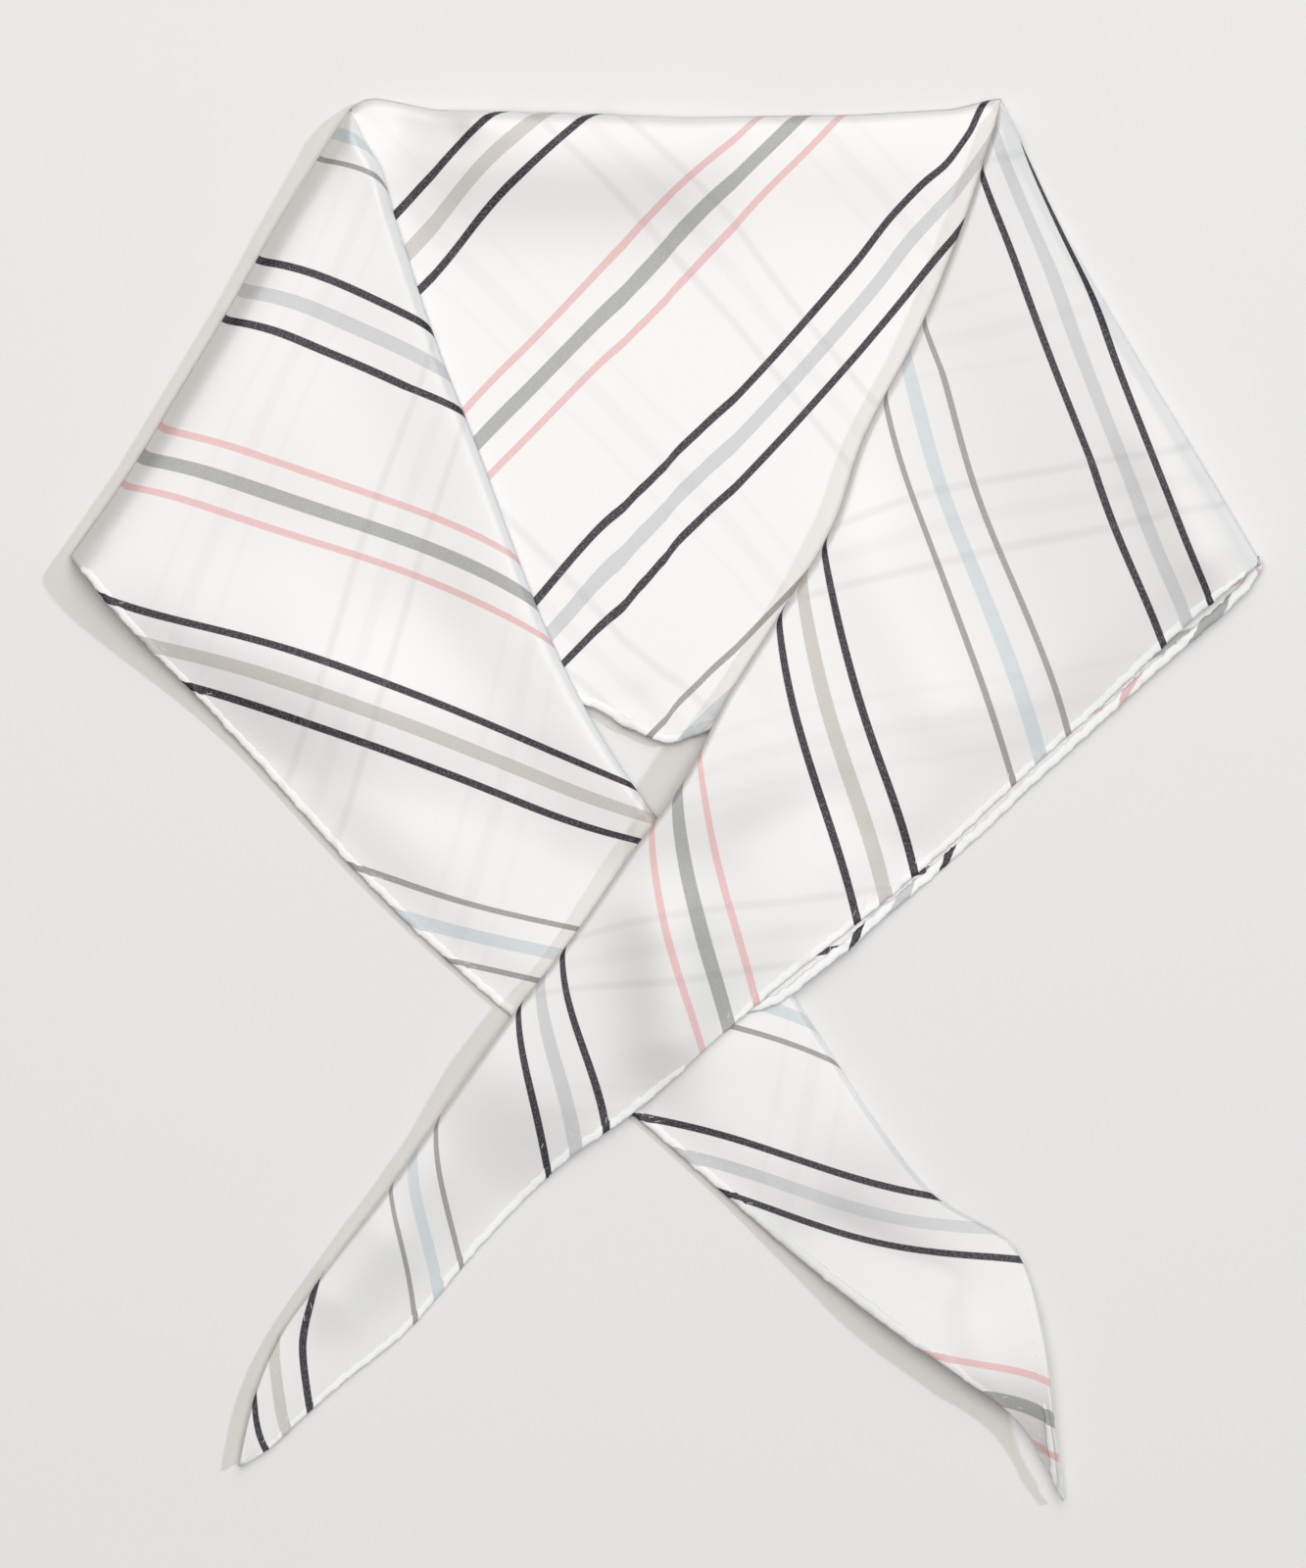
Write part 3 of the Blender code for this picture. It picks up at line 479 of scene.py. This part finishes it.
turned = {}  # by end: the middle's top and bottom rows that it turns over at
for side, rows in end_tables.items():
    corner, open_at = rows[corner_row, 0], rows[opened_row, 0]
    labels = np.r_[np.linspace(shoulder_start, corner, shoulder_steps),
                   np.linspace(corner, open_at, end_steps)[1:],
                   np.linspace(open_at, half_long, tip_steps)[1:]]
    ledge, moved = 0 * labels + left_ledge, 0 * labels
    if side == right:
        ledge = np.interp(labels, lower_hem[:, 0], lower_hem[:, 1])
        moved = np.interp(labels, lower_hem[:, 0], lower_hem[:, 2])
    table = np.column_stack([curve(rows, labels), ledge])
    slope = np.gradient(table[:shoulder_steps, 2:4], labels[:shoulder_steps], axis=0)
    slope /= np.linalg.norm(slope, axis=1)[:, None]
    uppers, unders, tops, bottoms = [], [], [], []
    for n, (s, row) in enumerate(zip(labels, table)):
        fold, edge, fold_print, edge_print, pull = row[0:2], row[2:4], row[4], row[5], row[9]
        width = np.linalg.norm(edge - fold)
        across = (edge - fold) / width
        # Where the lower ply ends: inside the shoulder's outer turn, and past the corner at its hem
        inner = edge
        if s <= corner:
            inward = np.array([-side * abs(slope[n, 1]), -abs(slope[n, 0])])
            out = ramp(s, corner - apart_fades, corner)
            inner = edge + ply_apart * inward * (1 - out) + across * ledge[n] * out
        upper, under, reach, high = end_paths(side, s, row, inner)
        if n == 0:  # the whole row is one point of the top fold
            at = middle_rows(side * s)[0][0]
            upper[:], under[:], high[:] = at, at, at[2]
        # The upper ply, with its print pulled and more cloth in its soft turns
        bow = 4 * pull * upper_shares * (1 - upper_shares)
        if side == right:
            bow = bow * right_pull_peak * (1 - upper_shares)
        upper_print = fold_print + (edge_print - fold_print) * upper_shares + bow
        lower = ramp(s, *lower_tuck_labels) * (side == right)
        taken = tuck[side] + (lower_tuck - tuck[side]) * lower
        within = tuck_reach[side] + (lower_tuck_reach - tuck_reach[side]) * lower
        fade_from, fade_to = shoulder_tuck_labels
        turned_down = shoulder_tuck * (1 - ramp(s, corner + fade_from, corner + fade_to))
        points = laid(upper, upper_shares, taken, within, turned_down, high)
        uppers.append(add_row(points, upper_print, fold_print))
        # The lower ply, with its own half's print
        folded = s <= open_at - lower_stops
        if folded:
            far_print = fold_print - (edge_print - fold_print) * reach / width + moved[n]
            if s <= corner:
                far_print = (inner[0] - label_shift + crossing_print - inner[1]
                             + middle_print(side * s) - side * s)
            under_print = fold_print + (far_print - fold_print) * under_shares
            unders.append(add_row(laid(under, under_shares), under_print, fold_print))
        # Past the corner, both plies' hems; the lower one goes over to the fold where that opens
        if s >= corner:
            outward = np.array([*across, 0])
            rate = rate_of(fold_print, edge_print, upper)
            past_edge = np.clip((open_at - hem_opens - s) / hem_turns, -1, 1)  # 1 edge, -1 fold
            leaning = outward * past_edge + (0, 0, 1 - past_edge ** 2)
            hems[back].append((side * s, upper[-1] + on_hem, outward, edge_print, rate, fold_print))
            entry = (upper[0] + on_fold, leaning, fold_print, -rate)
            if folded:
                rate = rate_of(fold_print, far_print, under)
                entry = (under[-1] + under_hem, leaning, far_print, rate)
            hems[front].append((side * s, *entry, fold_print))
        # Up to it, the middle's plies, which go on from the end's at the shoulder
        if s <= corner:
            top, bottom = turned_rows(side, s, edge, inner, upper[-1, 2], under[-1, 2])
            if n == 0:
                top, bottom = middle_rows(side * s)
            hem_print = far_print + (inner[1] - top[-1, 1]) + (top[-1, 0] - inner[0])
            low_print = edge_print - np.linalg.norm(top[-1, :2] - inner)
            top_print = far_print + (hem_print - far_print) * top_shares
            bottom_print = edge_print + (low_print - edge_print) * bottom_shares
            top, _, top_row, bottom_row = add_middle(
                top, bottom, top_print, bottom_print, fold_print, at_fold=n == 0)
            tops.append(top_row)
            bottoms.append(bottom_row)
            if s < corner:
                add_middle_hems(side * s, top, bottom, hem_print, low_print, fold_print)
    join(uppers, side == right)
    join(unders, side == left)
    join(tops, side == left)
    join(bottoms, side == right)
    turned[side] = tops[0], bottoms[0]

tops, bottoms = [turned[left][0]], [turned[left][1]]
for a in np.linspace(-shoulder_start, shoulder_start, middle_steps)[1:-1]:
    top, bottom = middle_rows(a)
    fold_print = middle_print(a)
    run = half_short * (1 - abs(a) / half_long)
    run = run + point_slack * math.exp(-((a - 3) / point_reach) ** 2)
    top_print, bottom_print = fold_print + run * top_shares, fold_print - run * bottom_shares
    top, top_print, top_row, bottom_row = add_middle(
        top, bottom, top_print, bottom_print, fold_print)
    tops.append(top_row)
    bottoms.append(bottom_row)
    add_middle_hems(a, top, bottom, top_print[-1], fold_print - run, fold_print)
tops.append(turned[right][0])
bottoms.append(turned[right][1])
join(tops, True)
join(bottoms)


def mesh_of(name, points, places, corners, merge=False):
    """A smooth mesh of points in millimetres, with their places in the print as its UV map."""
    mesh = bpy.data.meshes.new(name)
    mesh.from_pydata(((np.array(points) + (centre_x, 0, 0)) * 0.001).tolist(), [], corners)
    layer = mesh.uv_layers.new(name="print")
    loops = np.array([v for face in corners for v in face])
    layer.data.foreach_set("uv", (np.array(places)[loops] * 0.001).astype(np.float32).ravel())
    built = bmesh.new()
    built.from_mesh(mesh)
    if merge:
        bmesh.ops.remove_doubles(built, verts=built.verts, dist=2e-6)
        bmesh.ops.dissolve_degenerate(built, edges=built.edges, dist=1e-7)
    bmesh.ops.recalc_face_normals(built, faces=built.faces)
    built.to_mesh(mesh)
    built.free()
    mesh.shade_smooth()
    return mesh


cloth_mesh = mesh_of("silk_cloth", vertices, prints, faces, merge=True)
cloth = bpy.data.objects.new("silk_cloth", cloth_mesh)
bpy.context.scene.collection.objects.link(cloth)
shell = cloth.modifiers.new("thickness", "SOLIDIFY")
shell.thickness, shell.offset = 0.00018, 0.0


class Sum:
    """A value in a material's node tree, which Python's own operators add nodes to."""

    def __init__(self, tree, socket):
        self.tree, self.socket = tree, socket

    def node(self, kind, inputs=(), output=0, **settings):
        """A node of this kind: its settings first, then a value or a link for its sockets."""
        made = self.tree.nodes.new("ShaderNode" + kind)
        for name, value in settings.items():
            setattr(made, name, value)
        for name, value in dict(inputs).items():
            if isinstance(value, Sum):
                self.tree.links.new(value.socket, made.inputs[name])
            else:
                made.inputs[name].default_value = value
        return Sum(self.tree, made.outputs[output])

    def maths(self, operation, *values):
        return self.node("Math", dict(enumerate(values)), operation=operation)

    def __add__(self, other):
        return self.maths("ADD", self, other)

    def __sub__(self, other):
        return self.maths("SUBTRACT", self, other)

    def __mul__(self, other):
        return self.maths("MULTIPLY", self, other)

    def __truediv__(self, other):
        return self.maths("DIVIDE", self, other)

    def __radd__(self, other):
        return self.maths("ADD", other, self)

    def __rsub__(self, other):
        return self.maths("SUBTRACT", other, self)

    def __rmul__(self, other):
        return self.maths("MULTIPLY", other, self)

    def clamp(self):
        return self.node("Clamp", {0: self})

    def mix(self, share, one, other):
        """Colour one, and this share of the other colour over it."""
        factor, first_colour, second_colour, mixed_colour = 0, 6, 7, 2  # the Mix node's sockets
        inputs = {factor: share, first_colour: one, second_colour: other}
        return self.node("Mix", inputs, mixed_colour, data_type="RGBA")


def linear(red, green, blue):
    """A colour as it looks under these lights, 0 to 255, as the shader takes it."""
    light = 1.12  # how much brighter than its own colour a flat surface looks here

    def one(c):
        c /= 255
        return c / 12.92 if c <= 0.04045 else ((c + 0.055) / 1.055) ** 2.4
    return one(red) / light, one(green) / light, one(blue) / light, 1.0


def silk_material(name, white, shaded_white, gloss):
    """Printed twill: groups of stripes in four kinds, set out along the cloth itself, with painted
    shade on parts of both ends.
    """
    material = bpy.data.materials.new(name)
    material.use_nodes = True
    tree = material.node_tree
    shader = tree.nodes["Principled BSDF"]
    value = Sum(tree, None)
    uv = value.node("UVMap", uv_map="print")
    u, v = (1000 * value.node("SeparateXYZ", {"Vector": uv}, axis) for axis in ("X", "Y"))
    label = u - v
    first, apart, beside = -39.33, 88.0, 15.7  # a group's place, the next one's, the outer lines'
    outer_halves, middle_half = (1.9, 1.75, 1.9, 1.5), 3.45  # half widths, by the group's kind
    edge_soft, through_soft = 0.35, 2.2  # how sharp the print is, and how sharp from behind
    thin_shows, wide_shows, black_adds = 0.03, 0.045, 0.075  # how much of the far ply's ink shows
    thread_scale, thread_light, ink_thread_light = 1700.0, 0.12, 0.35
    inks = [  # the middle line's colour and the outer lines' colour, by the group's kind
        (linear(198, 194, 189), linear(49, 46, 54)), (linear(168, 168, 166), linear(224, 187, 186)),
        (linear(200, 200, 202), linear(49, 46, 54)), (linear(203, 210, 213), linear(158, 154, 153))]

    def stripes(c, soft):
        """Masks of the print at c: the outer and the middle line, and the group's kind."""
        group = value.maths("FLOOR", (c - first) / apart + 0.5)
        local = value.maths("ABSOLUTE", c - first - group * apart)
        kind = value.maths("FLOORED_MODULO", group, float(len(inks)))
        is_kind = [value.maths("COMPARE", kind, float(i), 0.1) for i in range(len(inks))]
        halves = [half * chosen for half, chosen in zip(outer_halves, is_kind)]
        outer_half = halves[0] + halves[1] + halves[2] + halves[3]
        outer = ((outer_half - value.maths("ABSOLUTE", local - beside)) / soft + 0.5).clamp()
        middle = ((middle_half - local) / soft + 0.5).clamp()
        return outer, middle, is_kind

    def fade(place, start, over):
        """0 before a place along the cloth, 1 past it; a stretch below 0 runs the other way."""
        return ((place - start) / over).clamp()

    # Painted shade: the white is mixed towards a greyer white over parts of both ends, and towards a
    # plain grey at the left tip, where those parts look darker under the light
    right_end = fade(label, 122, 10)
    right_painted_shade = fade(u, 100, 25) - fade(u, 190, 70) + 0.5 * fade(u, 320, 60)
    left_painted_shade = fade(label, -140, -40) - fade(label, -240, -60)
    left_tip_painted_shade = fade(label, -505, -30) * (1 - 0.6 * fade(label, -530, -70))
    colour = value.mix(right_end * right_painted_shade + 0.4 * left_painted_shade, white, shaded_white)
    colour = value.mix(left_tip_painted_shade * 0.7, colour, linear(210, 210, 210))
    outer, middle, kinds = stripes(u, edge_soft)
    for kind, (wide, thin) in zip(kinds, inks):
        colour = value.mix(middle * kind, colour, wide)
        colour = value.mix(outer * kind, colour, thin)
    # The other ply's stripes, which show faintly through where there are two
    far_outer, far_middle, far_kind = stripes(u - 2 * v, through_soft)
    one_ply = fade(value.maths("ABSOLUTE", label), 520, 40)
    shade = far_outer * (black_adds * (far_kind[0] + far_kind[2]) + thin_shows)
    shade = shade + far_middle * wide_shows
    colour = value.mix(shade * (1 - one_ply), colour, linear(120, 120, 130))
    # The twill's threads, which show most in the ink
    thread = {"Vector": uv, "Scale": thread_scale, "Detail": 1.0}
    grain = value.node("TexNoise", thread, noise_dimensions="2D")
    inked = (outer + middle).clamp()
    lightened = (grain - 0.5) * (thread_light + ink_thread_light * inked)
    colour = value.mix(lightened, colour, linear(255, 255, 255))
    # The right end's gloss is lowered where its shade is painted
    sheen = gloss - 0.4 * gloss * right_end * right_painted_shade
    tree.links.new(colour.socket, shader.inputs["Base Color"])
    tree.links.new(sheen.socket, shader.inputs["Metallic"])
    shader.inputs["Roughness"].default_value = 0.40
    shader.inputs["Specular IOR Level"].default_value = 0.2
    return material


# The silk's second white is the painted shade for parts of both ends
cloth_mesh.materials.append(
    silk_material("printed_silk", linear(232, 231, 230), linear(224, 223, 222), gloss=0.12))
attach(cloth, "root")
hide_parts("centre_panel", "left_tail", "right_tail")

# ---------------------------------------------------------------- rolled hem
# The cloth's edge is rolled on itself and sewn by hand, a soft tube about 3 mm wide. It goes round
# the whole rhombus, so each ply has its own. The stitches pinch it, and the sewing makes it uneven.
hem_half_width, hem_half_height = 1.7, 0.42
hem_step, hem_sides = 1.2, 12  # the mesh: length along the hem, and sides round it
hem_lowest = 0.04  # above the table
hem_point, hem_point_reach = 0.2, 9.0  # share of its width left at the tips, and where it narrows
stitch_pitch, stitch_pinch, pinch_reach = 5.5, 0.10, 0.9
scallop_pitch, scallop = 3.1, 0.16  # the sewn edge's small waves
scallop_drift, drift_reach = 1.5, 5.1  # and how they come early or late
wobbles = ((0.16, 7.3, 1), (0.12, 12.1, 0), (0.10, 31, 2))  # height, pitch, turns by half
drawn_in, drawn_in_label, drawn_in_reach = 0.9, 557.0, 20.0  # the front half's, where the fold opens
seen_from, seen_to = 203.0, 560.0  # labels where the front half's hem shows its other side
back_stitched_from = 205.0  # label from which the back half's hem is in sight
stitch_inset = 0.15  # from the roll's inner side to a stitch's middle
lean_soft = np.hanning(9) / np.hanning(9).sum()  # evens out the way that the hem faces
ring = np.linspace(0, 2 * math.pi, hem_sides, endpoint=False)


def wobble(at, half):
    """How far the hem wanders in or out along its length."""
    return sum(height * np.sin(2 * math.pi * at / pitch + turns * half)
               for height, pitch, turns in wobbles)


def unit(rows):
    return rows / np.maximum(np.linalg.norm(rows, axis=1), 1e-6)[:, None]


hem_points, hem_prints, hem_faces, stitch_places = [], [], [], []
for half, entries in hems.items():
    entries.sort(key=lambda entry: entry[0])
    columns = [np.array(values) for values in zip(*entries)]
    run = np.r_[0, np.cumsum(np.linalg.norm(np.diff(columns[1], axis=0), axis=1))]
    at = np.linspace(0, run[-1], int(run[-1] / hem_step))
    count = len(at)

    def even(values):
        """The same values at even steps along the hem."""
        if values.ndim == 1:
            return np.interp(at, run, values)
        return np.stack([np.interp(at, run, column) for column in values.T], axis=1)

    label, edge, outward, edge_print, rate, fold_print = (even(values) for values in columns)
    padding = len(lean_soft) // 2
    padded = np.vstack([outward[:1]] * padding + [outward] + [outward[-1:]] * padding)
    outward = np.stack([np.convolve(column, lean_soft, "valid") for column in padded.T], axis=1)
    along = unit(np.gradient(edge, axis=0))
    lean = (outward * along).sum(axis=1)
    across = outward - lean[:, None] * along
    steep = np.maximum(np.linalg.norm(across, axis=1), 0.3)
    rate = (rate - lean * np.gradient(edge_print, at)) / steep
    across, up = unit(across), unit(np.cross(along, unit(across)))
    up *= np.where(up[:, 2:] < 0, -1, 1)
    pinch = 1 - stitch_pinch * np.exp(-((at % stitch_pitch - stitch_pitch / 2) / pinch_reach) ** 2)
    taper = np.minimum(1, np.minimum(at, run[-1] - at) / hem_point_reach + hem_point)
    shown = 1 + 0 * at
    if half == front:
        shown = 1 - drawn_in * np.exp(-((np.abs(label) - drawn_in_label) / drawn_in_reach) ** 2)
    wide, high = hem_half_width * pinch * taper * shown, hem_half_height * pinch * taper * shown
    drift = scallop_drift * np.sin(at / drift_reach)
    waves = scallop * np.sin(2 * math.pi * at / scallop_pitch + drift)
    middle = edge + across * (wobble(at, half) + waves - wide)[:, None]
    other_side = (half == front) & (np.abs(label) > seen_from) & (np.abs(label) < seen_to)
    first = len(hem_points)
    for n in range(count):
        for turn in ring:
            off = wide[n] * (math.cos(turn) - 1)
            spot = middle[n] + across[n] * (off + wide[n]) + up[n] * high[n] * math.sin(turn)
            hem_points.append((spot[0], spot[1], max(spot[2], hem_lowest)))
            seen = (math.sin(turn) > -0.1) != other_side[n]
            place = edge_print[n] + rate[n] * (off if seen else -off)
            hem_prints.append((place, place - fold_print[n]))
    for n in range(count - 1):
        for j in range(hem_sides):
            a, b = first + n * hem_sides + j, first + n * hem_sides + (j + 1) % hem_sides
            hem_faces.append((a, b, b + hem_sides, a + hem_sides))
    hem_faces.append(tuple(range(first + hem_sides - 1, first - 1, -1)))
    hem_faces.append(tuple(range(first + (count - 1) * hem_sides, first + count * hem_sides)))
    for n in range(4, count - 4):
        next_stitch = int(at[n] / stitch_pitch) != int(at[n - 1] / stitch_pitch)
        in_sight = (half == front or abs(label[n]) > back_stitched_from) and shown[n] > 0.8
        if next_stitch and in_sight:
            stitch_places.append((middle[n] - across[n] * (wide[n] + stitch_inset), along[n]))

hem_mesh = mesh_of("rolled_hem", hem_points, hem_prints, hem_faces)
# Painted light: the hem is the same silk, given a lighter white than the cloth's to stand in for the
# light its rounded roll catches
hem_mesh.materials.append(
    silk_material("hem_silk_painted_light", linear(245, 244, 242), linear(243, 243, 242), gloss=0.03))
hem = bpy.data.objects.new("rolled_hem", hem_mesh)
bpy.context.scene.collection.objects.link(hem)
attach(hem, "root")

# ---------------------------------------------------------------- stitches
# White silk thread. A short slanted stitch every 5 to 6 mm along the inner side of the rolled hem
# holds the roll down. They are sewn by hand, so no two lie quite alike.
stitch_length, thread_radius = 1.9, 0.09
stitch_slant, slant_varies = 0.65, 0.25  # radians
stitch_lift = 0.12  # of the thread's middle above the cloth
above, below = 2.2, 3.8  # how far from the hem's middle the cloth is looked for
silk_thread = bpy.data.materials.new("silk_thread")
silk_thread.use_nodes = True
thread_shader = silk_thread.node_tree.nodes["Principled BSDF"]
thread_shader.inputs["Base Color"].default_value = (0.8, 0.79, 0.77, 1)
thread_shader.inputs["Roughness"].default_value = 0.5


def stitch_nodes():
    """One round thread on each point, turned by the point's own angle."""
    group = bpy.data.node_groups.new("stitches", "GeometryNodeTree")
    sockets = group.interface
    sockets.new_socket("Geometry", in_out="INPUT", socket_type="NodeSocketGeometry")
    length = sockets.new_socket("Stitch length", in_out="INPUT", socket_type="NodeSocketFloat")
    radius = sockets.new_socket("Thread radius", in_out="INPUT", socket_type="NodeSocketFloat")
    sockets.new_socket("Geometry", in_out="OUTPUT", socket_type="NodeSocketGeometry")
    nodes = group.nodes
    start, end = nodes.new("NodeGroupInput"), nodes.new("NodeGroupOutput")
    thread = nodes.new("GeometryNodeMeshCylinder")
    thread.inputs["Vertices"].default_value = 6
    lie = nodes.new("GeometryNodeTransform")
    lie.inputs["Rotation"].default_value = (0, math.pi / 2, 0)
    turn = nodes.new("GeometryNodeInputNamedAttribute")
    turn.data_type = "FLOAT"
    turn.inputs["Name"].default_value = "turn"
    angles = nodes.new("ShaderNodeCombineXYZ")
    place = nodes.new("GeometryNodeInstanceOnPoints")
    real = nodes.new("GeometryNodeRealizeInstances")
    cover = nodes.new("GeometryNodeSetMaterial")
    cover.inputs["Material"].default_value = silk_thread
    for one, two in (
            (start.outputs["Thread radius"], thread.inputs["Radius"]),
            (start.outputs["Stitch length"], thread.inputs["Depth"]),
            (thread.outputs["Mesh"], lie.inputs["Geometry"]),
            (start.outputs["Geometry"], place.inputs["Points"]),
            (lie.outputs["Geometry"], place.inputs["Instance"]),
            (turn.outputs["Attribute"], angles.inputs["Z"]),
            (angles.outputs["Vector"], place.inputs["Rotation"]),
            (place.outputs["Instances"], real.inputs["Geometry"]),
            (real.outputs["Geometry"], cover.inputs["Geometry"]),
            (cover.outputs["Geometry"], end.inputs["Geometry"])):
        group.links.new(one, two)
    return group, length.identifier, radius.identifier


surface = BVHTree.FromPolygons([tuple(v.co) for v in cloth_mesh.vertices],
                               [tuple(p.vertices) for p in cloth_mesh.polygons])
stitch_points, stitch_turns = [], []
for n, (spot, along) in enumerate(stitch_places):
    spot = (Vector(spot) + Vector((centre_x, 0, 0))) * 0.001
    start = spot + Vector((0, 0, above * 0.001))
    hit = surface.ray_cast(start, Vector((0, 0, -1)), (above + below) * 0.001)[0]
    if hit:
        stitch_points.append((hit.x, hit.y, hit.z + stitch_lift * 0.001))
        slant = stitch_slant + slant_varies * math.sin(2.3 * n)
        stitch_turns.append(math.atan2(along[1], along[0]) + slant)
stitch_mesh = bpy.data.meshes.new("hem_stitches")
stitch_mesh.from_pydata(stitch_points, [], [])
turn_layer = stitch_mesh.attributes.new("turn", "FLOAT", "POINT")
turn_layer.data.foreach_set("value", stitch_turns)
stitches = bpy.data.objects.new("hem_stitches", stitch_mesh)
bpy.context.scene.collection.objects.link(stitches)
maker = stitches.modifiers.new("stitches", "NODES")
maker.node_group, length_key, radius_key = stitch_nodes()
maker[length_key], maker[radius_key] = stitch_length * 0.001, thread_radius * 0.001
ready = stitches.evaluated_get(bpy.context.evaluated_depsgraph_get())
stitches.data = bpy.data.meshes.new_from_object(ready)
stitches.modifiers.clear()
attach(stitches, "root")

# ---------------------------------------------------------------- table and light
# A plain pale table top under a large soft light. A cool, low light from the right draws the folds
# and the short shadows on the left, and a small one behind the top fold brightens it.
bpy.ops.mesh.primitive_plane_add(size=6.0, location=(0, 0, 0))
floor = bpy.context.object
floor.name = "table"
paint = bpy.data.materials.new("table")
paint.use_nodes = True
paint_shader = paint.node_tree.nodes["Principled BSDF"]
paint_shader.inputs["Base Color"].default_value = (0.745, 0.735, 0.722, 1)
paint_shader.inputs["Roughness"].default_value = 0.9
floor.data.materials.append(paint)

world = bpy.data.worlds.new("studio")
world.use_nodes = True
room_light = world.node_tree.nodes["Background"]
room_light.inputs["Color"].default_value = (1.0, 0.962, 0.915, 1)
room_light.inputs["Strength"].default_value = 0.15
bpy.context.scene.world = world


def lamp(name, kind, place, energy, colour, size):
    """A light at a place, aimed at the scarf's middle; its size is metres, or a sun's angle."""
    light = bpy.data.lights.new(name, kind)
    light.color, light.energy = colour, energy
    if kind == "SUN":
        light.angle = size
    else:
        light.shape, light.size = "SQUARE", size
    made = bpy.data.objects.new(name, light)
    made.location = place
    made.rotation_mode = "QUATERNION"
    made.rotation_quaternion = (-Vector(place)).to_track_quat("-Z", "Y")
    bpy.context.scene.collection.objects.link(made)
    return made


key = lamp("key", "SUN", (4.0, 1.1, 2.7), 1.32, (0.77, 0.88, 1.0), math.radians(3.3))
key.visible_glossy = False
lamp("softbox", "AREA", (0.1, 0.5, 3.0), 75.0, (1.0, 0.975, 0.94), 2.6)
lamp("top_light", "AREA", (0.2, 1.6, 1.4), 7.5, (1.0, 0.98, 0.95), 1.2)
